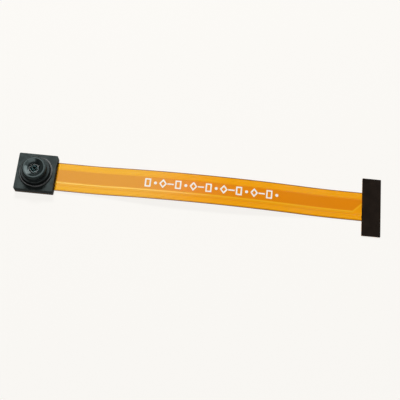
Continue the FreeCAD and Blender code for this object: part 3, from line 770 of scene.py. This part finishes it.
def embossed_columns():
    """Places across the ribbon that catch every edge of the copper."""
    ribbon = settings().ribbon
    half = ribbon.width / 2
    strips = [(middle, ribbon.trace_width / 2) for middle in signal_lines()]
    strips += [(-ribbon.power_trace, ribbon.power_width / 2),
               ((ribbon.ground_high - ribbon.ground_low) / 2, (ribbon.ground_high + ribbon.ground_low) / 2)]
    edges = set(stations(-half, half, FINE_STEP))
    for middle, reach in strips:
        edges |= {middle - reach, middle + reach,
                  middle - reach - ribbon.flank, middle + reach + ribbon.flank}
    edges = sorted(edges)
    return edges[:1] + [edge for before, edge in zip(edges, edges[1:]) if edge - before > 0.004 * MM]


def film_mesh(low, high, end, embossed):
    """One film of the ribbon: square head, bowed strip and wide tab."""
    ribbon = settings().ribbon
    head = high_of("rear_stiffener")
    tab = low_of("connector_stiffener").x
    half = ribbon.width / 2
    along_list = stations(head.x, tab, ALONG_STEP)
    across_list = stations(-half, half, ACROSS_STEP)
    if embossed:
        turn = supply_turn()
        along_list = stations(head.x, turn, ALONG_STEP) + stations(turn, tab, TURN_STEP)[1:]
        across_list = embossed_columns()

    def low_height(along, across):
        return low + ribbon.emboss * 1.1 if embossed and abs(across) <= half - FINE_STEP else low

    def high_height(along, across):
        return high - ribbon.emboss * (1.0 - copper_share(along, across)) if embossed else high

    def build(form):
        level = Bow().head_level
        rounded_plate(form, -head.x, head.x, head.y, HEAD_CORNER, level + low, level + high)
        film_shell(form, along_list, across_list, low_height, high_height)
        rounded_plate(form, tab, end, high_of("connector_stiffener").y, TAB_CORNER, low, high)
    return mesh_from(build)


# Geometry Nodes

class Rule:
    """A Geometry Nodes tree with named inputs, run once into a plain mesh."""

    def __init__(self, name, **inputs):
        self.tree = bpy.data.node_groups.new(name, "GeometryNodeTree")
        self.given = []
        for label, value in inputs.items():
            kind = "NodeSocketInt" if isinstance(value, int) else "NodeSocketFloat"
            socket = self.tree.interface.new_socket(label, in_out="INPUT", socket_type=kind)
            socket.default_value = value
            self.given.append((socket.identifier, value))
        self.tree.interface.new_socket("Geometry", in_out="OUTPUT", socket_type="NodeSocketGeometry")
        self.source = self.tree.nodes.new("NodeGroupInput")

    def value(self, label):
        return self.source.outputs[label]

    def node(self, kind, values, **setup):
        return add_node(self.tree, kind, values, **setup).outputs[0]

    def mesh(self, geometry, material):
        """The tree's result as a plain mesh, every instance made real."""
        real = self.node("GeometryNodeRealizeInstances", {"Geometry": geometry})
        dressed = self.node("GeometryNodeSetMaterial", {"Geometry": real, "Material": material})
        add_node(self.tree, "NodeGroupOutput", {0: dressed})
        host = new_object("rule_host", bpy.data.meshes.new("rule_host"))
        modifier = host.modifiers.new("rule", "NODES")
        modifier.node_group = self.tree
        for identifier, value in self.given:
            modifier[identifier] = value
        graph = bpy.context.evaluated_depsgraph_get()
        mesh = bpy.data.meshes.new_from_object(host.evaluated_get(graph))
        bpy.data.objects.remove(host)
        return mesh


def thread_mesh(material):
    """A fine ridge that winds up the barrel."""
    lens = settings().lens
    crest = high_of("thread_adhesive").x - 0.06 * MM
    bottom = low_of("lens_barrel").z + 0.16 * MM
    height = 0.93 * MM
    rule = Rule("thread_ridge", Turns=height / lens.thread_pitch, Radius=lens.core_radius,
                Height=height, Depth=crest - lens.core_radius, Resolution=96)
    spiral = rule.node("GeometryNodeCurveSpiral", {
        "Resolution": rule.value("Resolution"), "Rotations": rule.value("Turns"),
        "Start Radius": rule.value("Radius"), "End Radius": rule.value("Radius"),
        "Height": rule.value("Height")})
    section = rule.node("GeometryNodeCurvePrimitiveCircle", {
        "Resolution": 8, "Radius": rule.value("Depth")}, mode="RADIUS")
    ridge = rule.node("GeometryNodeCurveToMesh", {
        "Curve": spiral, "Profile Curve": section, "Fill Caps": True})
    lifted = rule.node("GeometryNodeTransform", {"Geometry": ridge, "Translation": (0.0, 0.0, bottom)})
    return rule.mesh(lifted, material)


def ball_mesh(material):
    """The grid of solder balls under the sensor, squeezed between pad and die."""
    low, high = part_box("solder_balls")
    radius = 0.14 * MM
    rule = Rule("solder_grid", Span=high.x - low.x - 2 * radius, Count=5, Radius=radius,
                Squeeze=(high.z - low.z) / (2 * radius) * 1.35)
    grid = rule.node("GeometryNodeMeshGrid", {
        "Size X": rule.value("Span"), "Size Y": rule.value("Span"),
        "Vertices X": rule.value("Count"), "Vertices Y": rule.value("Count")})
    ball = rule.node("GeometryNodeMeshUVSphere", {
        "Segments": 20, "Rings": 12, "Radius": rule.value("Radius")})
    squeeze = rule.node("ShaderNodeCombineXYZ", {0: 1.0, 1: 1.0, 2: rule.value("Squeeze")})
    scaled = rule.node("GeometryNodeTransform", {"Geometry": ball, "Scale": squeeze})
    placed = rule.node("GeometryNodeInstanceOnPoints", {"Points": grid, "Instance": scaled})
    lifted = rule.node("GeometryNodeTransform", {
        "Geometry": placed, "Translation": (0.0, 0.0, (low.z + high.z) / 2)})
    mesh = rule.mesh(lifted, material)
    for vertex in mesh.vertices:
        vertex.co.z = max(low.z, min(high.z, vertex.co.z))
    return mesh


# Operators

class DressOperator:
    """What every step shares."""
    bl_options = {"REGISTER", "UNDO"}


class CAMERA_MODULE_OT_ribbon(DressOperator, bpy.types.Operator):
    """Make the three films of the ribbon, smooth along the bow"""
    bl_idname = "camera_module.ribbon"
    bl_label = "Ribbon films"

    def execute(self, context):
        cover_top = high_of("top_coverlay").z - settings().ribbon.crest_height
        film_low = low_of("base_film").z
        film_high = low_of("top_coverlay").z
        patterned = amber_film("amber_cover_film", True)
        plain = amber_film("amber_base_film", False)
        for name, node, low, high, material in (
                ("ribbon_cover_film", "top_coverlay", film_high, cover_top, patterned),
                ("ribbon_base_film", "base_film", film_low, film_high, plain),
                ("ribbon_back_film", "back_coverlay", 0.0, film_low, patterned)):
            mesh = film_mesh(low, high, high_of(node).x, node == "top_coverlay")
            new_piece(name, mesh, material, "amber_film", node)
        return {"FINISHED"}


class CAMERA_MODULE_OT_marks(DressOperator, bpy.types.Operator):
    """Print the row of plain white marks on the ribbon"""
    bl_idname = "camera_module.marks"
    bl_label = "White marks"

    def execute(self, context):
        marks = settings().marks
        top = high_of("top_coverlay").z - settings().ribbon.crest_height
        bow = Bow()
        half = marks.height / 2

        def block(form, corners):
            """A raised patch of ink on the bow."""
            lower, upper = ([bow.point(x, y, top + level * MM) for x, y in corners]
                            for level in (-0.004, 0.012))
            prism(form, lower, upper)

        def bar(form, first, last):
            """A raised stroke between two points of the ribbon's plan."""
            first, last = Vector(first), Vector(last)
            direction = (last - first).normalized()
            side = Vector((-direction.y, direction.x)) * marks.stroke / 2
            ahead = direction * marks.stroke * 0.35
            block(form, (first - ahead + side, first - ahead - side,
                         last + ahead - side, last + ahead + side))

        def outline(form, corners):
            for first, last in zip(corners, corners[1:] + corners[:1]):
                bar(form, first, last)

        def square(form, x, y):
            side = half * 0.62
            outline(form, [(x - side, y - half), (x + side, y - half),
                           (x + side, y + half), (x - side, y + half)])

        def diamond(form, x, y):
            side = half * 0.8
            outline(form, [(x - side, y), (x, y - half), (x + side, y), (x, y + half)])

        def dot(form, x, y):
            block(form, round_corner((x, y), half * 0.42, 0.0, 330.0, 11))

        def dash(form, x, y):
            bar(form, (x - half * 0.7, y), (x + half * 0.7, y))

        def build(form):
            shapes = (square, dot, diamond, dash)
            for number in range(marks.count):
                shapes[number % len(shapes)](form, marks.start + number * marks.spacing, marks.middle)

        ink = grainy("cream_white_ink", marks.ink, (6.0, 4.0), (0.32, 0.55, 0.88, 1.0), 0.55, 0.006)
        new_piece("ribbon_white_marks", mesh_from(build), ink, "amber_film")
        return {"FINISHED"}


class CAMERA_MODULE_OT_head(DressOperator, bpy.types.Operator):
    """Give the square housing its soft edges and moulded finish"""
    bl_idname = "camera_module.head"
    bl_label = "Housing"

    def execute(self, context):
        head = settings().head
        wall_top = (high_of("lens_holder").z - head.collar_height) / MM
        crown = (high_of("thread_adhesive").x + head.collar_radius) / MM / 2
        plastic = housing_plastic(head.plastic, wall_top, crown)
        shell = refined_copy("lens_holder", head.bevel, head.collar_edge)
        new_piece("housing_shell", shell, plastic, "holder_plastic", "lens_holder")
        return {"FINISHED"}


class CAMERA_MODULE_OT_barrel(DressOperator, bpy.types.Operator):
    """Turn the lens barrel with its thread, neck, rim and funnel"""
    bl_idname = "camera_module.barrel"
    bl_label = "Lens barrel"

    def execute(self, context):
        lens = settings().lens
        low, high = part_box("lens_barrel")
        bottom = low.z / MM
        top = high.z / MM
        thread = high.x / MM
        core = lens.core_radius / MM
        bore = high_of("front_lens").x / MM + 0.02
        shoulder = bottom + lens.thread_height / MM
        neck = thread - lens.neck_step / MM
        rim = lens.rim_radius / MM
        mouth = lens.mouth_radius / MM
        throat = lens.throat_radius / MM
        foot = top - lens.funnel_depth / MM
        seat = top - lens.seat_depth / MM
        profile = [(bore, bottom), (core - 0.09, bottom), (core - 0.02, bottom + 0.05),
                   (core, bottom + 0.12), (core, shoulder - 0.14)]
        profile += round_corner((thread - 0.12, shoulder - 0.09), 0.09, 20.0, 90.0, 5)
        profile += [(neck + 0.13, shoulder)]
        profile += round_corner((neck + 0.10, shoulder + 0.10), 0.10, 270.0, 180.0, 5)
        profile += [(neck, (shoulder + top) / 2)]
        profile += round_corner((neck - rim, top - rim), rim, 0.0, 90.0, 10)
        profile += [(mouth, top)]
        profile += round_corner((mouth, top - 0.05), 0.05, 90.0, 132.0, 3)[1:]
        profile += [(1.70, foot + 0.25), (1.40, foot + 0.03), (1.34, foot), (throat + 0.03, foot - 0.045),
                    (throat, foot - 0.07), (throat, seat), (bore, seat)]
        plastic = barrel_plastic(lens.plastic, neck - rim, shoulder)
        new_piece("barrel_body", lathe(profile, lens.segments), plastic, "barrel_plastic", "lens_barrel")
        new_piece("barrel_thread", thread_mesh(plastic), plastic, "barrel_plastic")
        return {"FINISHED"}


class CAMERA_MODULE_OT_lens(DressOperator, bpy.types.Operator):
    """Grind the front lens"""
    bl_idname = "camera_module.lens"
    bl_label = "Front lens"

    def execute(self, context):
        lens = settings().lens
        low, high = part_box("front_lens")
        edge = high.x / MM
        bottom = low.z / MM
        top = high.z / MM
        seat = bottom + 0.29
        dome = 1.06
        shoulder = 0.83
        brow = top - 0.025
        rise = top - brow
        radius = (shoulder * shoulder + rise * rise) / (2 * rise)
        profile = [(0.0, bottom + 0.06), (0.3, bottom + 0.051), (0.6, bottom + 0.027),
                   (0.80, bottom), (edge - 0.03, bottom), (edge, bottom + 0.03),
                   (edge, seat - 0.03), (edge - 0.03, seat), (dome + 0.01, seat), (dome, seat + 0.01)]
        for step in range(9):
            turn = math.radians(90 * step / 8)
            profile.append((shoulder + (dome - shoulder) * math.cos(turn),
                            seat + 0.06 + (brow - seat - 0.06) * math.sin(turn)))
        for step in range(1, 13):
            across = shoulder * (1 - step / 12)
            profile.append((across, top - radius + math.sqrt(radius ** 2 - across ** 2)))
        material = glass("coated_front_glass", lens.glass, 0.02, 1.20, shoulder)
        new_piece("front_lens_glass", lathe(profile, 96), material, "lens_glass", "front_lens")
        return {"FINISHED"}


class CAMERA_MODULE_OT_tab(DressOperator, bpy.types.Operator):
    """Finish the stiffened tab and the plate under the head"""
    bl_idname = "camera_module.tab"
    bl_label = "Tab"

    def execute(self, context):
        laminate = black_laminate()
        bevel = settings().tab.bevel
        for name, node in (("tab_plate", "connector_stiffener"), ("head_back_plate", "rear_stiffener")):
            new_piece(name, refined_copy(node, bevel), laminate, "black_laminate", node)
        return {"FINISHED"}


class CAMERA_MODULE_OT_inner(DressOperator, bpy.types.Operator):
    """Give the inner parts and the contacts their materials"""
    bl_idname = "camera_module.inner"
    bl_label = "Inner parts"

    def execute(self, context):
        lens = settings().lens
        solder = metal("dull_tin_solder", (0.62, 0.62, 0.63), 0.35)
        dresses = (
            (metal("rolled_copper_foil", (0.86, 0.42, 0.22), 0.32, (0.1, 2.0, 1.0), 12.0),
             "copper_traces", "solder_pads"),
            (metal("thin_gold_plating", (0.93, 0.66, 0.25), 0.26, (0.3, 3.0, 1.0), 14.0),
             "contact_fingers"),
            (silicon(), "sensor_die"),
            (resin(), "sensor_dam", "holder_adhesive", "filter_adhesive", "thread_adhesive"),
            (glass("sensor_cover_glass_clear", (0.94, 0.98, 0.97), 0.01, 1.5), "sensor_cover_glass"),
            (grainy("fired_brown_ceramic", (0.36, 0.24, 0.15), (18.0, 3.0), (0.4, 0.7, 0.9, 1.15),
                    0.5, 0.004), "capacitor_bodies"),
            (solder, "capacitor_terminals"),
            (glass("blue_green_filter_glass", (0.55, 0.83, 0.86), 0.01, 1.52), "ir_cut_filter"),
            (moulded_plastic("black_ring_plastic", lighter(lens.plastic, 0.8), 0.5, 0.4),
             "aperture_stop", "front_spacer", "rear_spacer", "lens_retainer"),
            (glass("inner_lens_glass", lighter(lens.glass, 0.08), 0.02, 1.14),
             "middle_lens", "rear_lens"),
        )
        for material, *nodes in dresses:
            for node in nodes:
                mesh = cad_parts[node].data
                mesh.materials.clear()
                mesh.materials.append(material)
        new_piece("solder_ball_grid", ball_mesh(solder), solder, "solder", "solder_balls")
        return {"FINISHED"}


LENS_FOOT = (0.0, 0.0, 0.004)

# Name, place, point that it faces, width, depth, radiance, and whether it lights or is only mirrored
LIGHTS = (
    ("key_soft", (-0.030, 0.253, 0.306), (0.015, 0.0, 0.0), 0.07, 0.07, 109.0, True),
    ("ceiling_gloss", (-0.080, 0.145, 0.345), (0.0, 0.0, 0.0), 0.19, 0.24, 2.8, False),
    ("right_gloss", (0.185, 0.222, 0.135), LENS_FOOT, 0.42, 0.24, 5.0, False),
    ("front_gloss", (0.080, -0.235, 0.205), LENS_FOOT, 0.34, 0.17, 2.5, False),
    ("side_gloss", (0.240, -0.064, 0.205), LENS_FOOT, 0.16, 0.12, 1.5, False),
)


class CAMERA_MODULE_OT_stage(DressOperator, bpy.types.Operator):
    """Set the camera, the pale floor, the lights and the room"""
    bl_idname = "camera_module.stage"
    bl_label = "Stage"

    def execute(self, context):
        scene = context.scene
        scene.view_settings.view_transform = "Standard"
        self.make_camera(scene)
        self.make_floor()
        self.make_world(scene)
        for light in LIGHTS:
            self.make_light(*light)
        return {"FINISHED"}

    def make_camera(self, scene):
        stage = settings().stage
        data = bpy.data.cameras.new("photo_camera")
        data.sensor_width = 36.0
        data.lens = stage.lens
        data.clip_start = 0.01
        data.clip_end = 20.0
        camera = new_object("photo_camera", data)
        turned = (Matrix.Rotation(stage.azimuth, 4, "Z")
                  @ Matrix.Rotation(math.pi / 2 - stage.elevation, 4, "X")
                  @ Matrix.Rotation(stage.roll, 4, "Z"))
        camera.matrix_world = (Matrix.Translation((stage.aim_along, stage.aim_across, 0.0)) @ turned
                               @ Matrix.Translation((0.0, 0.0, stage.distance)))
        scene.camera = camera

    def make_floor(self):
        def build(form):
            corners = [(-1.5, -1.5), (1.5, -1.5), (1.5, 1.5), (-1.5, 1.5)]
            form.faces.new([form.verts.new((x, y, -0.02 * MM)) for x, y in corners])
        mesh = mesh_from(build)
        shade = new_shade("pale_floor")
        colour = settings().stage.floor
        seen = shade.ray("Camera")
        for kind in ("Glossy", "Transmission"):
            seen = seen.math("MAXIMUM", shade.ray(kind))
        lit = shade.node("BsdfDiffuse", {"Color": colour})
        plain = shade.node("Emission", {"Color": colour, "Strength": 1.0})
        mixed = shade.node("MixShader", {0: seen * 0.92, 1: lit, 2: plain})
        mesh.materials.append(shade.finish("Material", mixed))
        new_object("pale_floor", mesh)

    def make_world(self, scene):
        """Pale walls that grow darker towards the ceiling."""
        scene.world = bpy.data.worlds.new("pale_room")
        shade = Shade(scene.world)
        up = shade.split(shade.node("TexCoord", output="Generated"))[2]
        strength = shade.ramp(up, 0.30, 0.62, 0.30, 0.04).math("MAXIMUM", shade.ray("Camera"))
        shade.finish("World", shade.node("Background", {"Color": settings().stage.floor,
                                                        "Strength": strength}))

    def make_light(self, name, place, target, width, depth, radiance, matte):
        """A soft box of a given brightness that faces a target.
        It lights matte surfaces, or shows in glossy ones."""
        data = bpy.data.lights.new(name, "AREA")
        data.shape = "RECTANGLE"
        data.size = width
        data.size_y = depth
        data.energy = radiance * math.pi * width * depth
        light = new_object(name, data)
        light.visible_diffuse = matte
        light.visible_glossy = not matte
        light.visible_transmission = not matte
        turned = (Vector(target) - Vector(place)).to_track_quat("-Z", "Y")
        light.matrix_world = Matrix.Translation(place) @ turned.to_matrix().to_4x4()


OPERATORS = (CAMERA_MODULE_OT_stage, CAMERA_MODULE_OT_ribbon, CAMERA_MODULE_OT_marks,
             CAMERA_MODULE_OT_head, CAMERA_MODULE_OT_barrel, CAMERA_MODULE_OT_lens,
             CAMERA_MODULE_OT_tab, CAMERA_MODULE_OT_inner)


SECTIONS = {"ribbon": RibbonSettings, "lens": LensSettings, "head": HeadSettings,
            "marks": MarkSettings, "tab": TabSettings, "stage": StageSettings}


class CameraModuleSettings(bpy.types.PropertyGroup):
    """All settings of the camera module."""
    __annotations__ = {
        name: bpy.props.PointerProperty(type=group, name=name.capitalize(), description=group.__doc__)
        for name, group in SECTIONS.items()}


class CAMERA_MODULE_PT_panel(bpy.types.Panel):
    """Lists the steps that dress the part"""
    bl_idname = "CAMERA_MODULE_PT_panel"
    bl_label = "Camera module"
    bl_space_type = "VIEW_3D"
    bl_region_type = "UI"
    bl_category = "Camera module"

    def draw(self, context):
        for operator in OPERATORS:
            self.layout.operator(operator.bl_idname)
        for section in SECTIONS:
            box = self.layout.box()
            box.label(text=section.capitalize())
            values = getattr(context.scene.camera_module, section)
            for name in values.__annotations__:
                box.prop(values, name)


CLASSES = (*SECTIONS.values(), CameraModuleSettings, *OPERATORS, CAMERA_MODULE_PT_panel)


def register():
    for item in CLASSES:
        bpy.utils.register_class(item)
    bpy.types.Scene.camera_module = bpy.props.PointerProperty(type=CameraModuleSettings)


def unregister():
    del bpy.types.Scene.camera_module
    for item in reversed(CLASSES):
        bpy.utils.unregister_class(item)


def main():
    register()
    for operator in OPERATORS:
        group, name = operator.bl_idname.split(".")
        getattr(getattr(bpy.ops, group), name)()


if __name__ == "__main__":
    main()
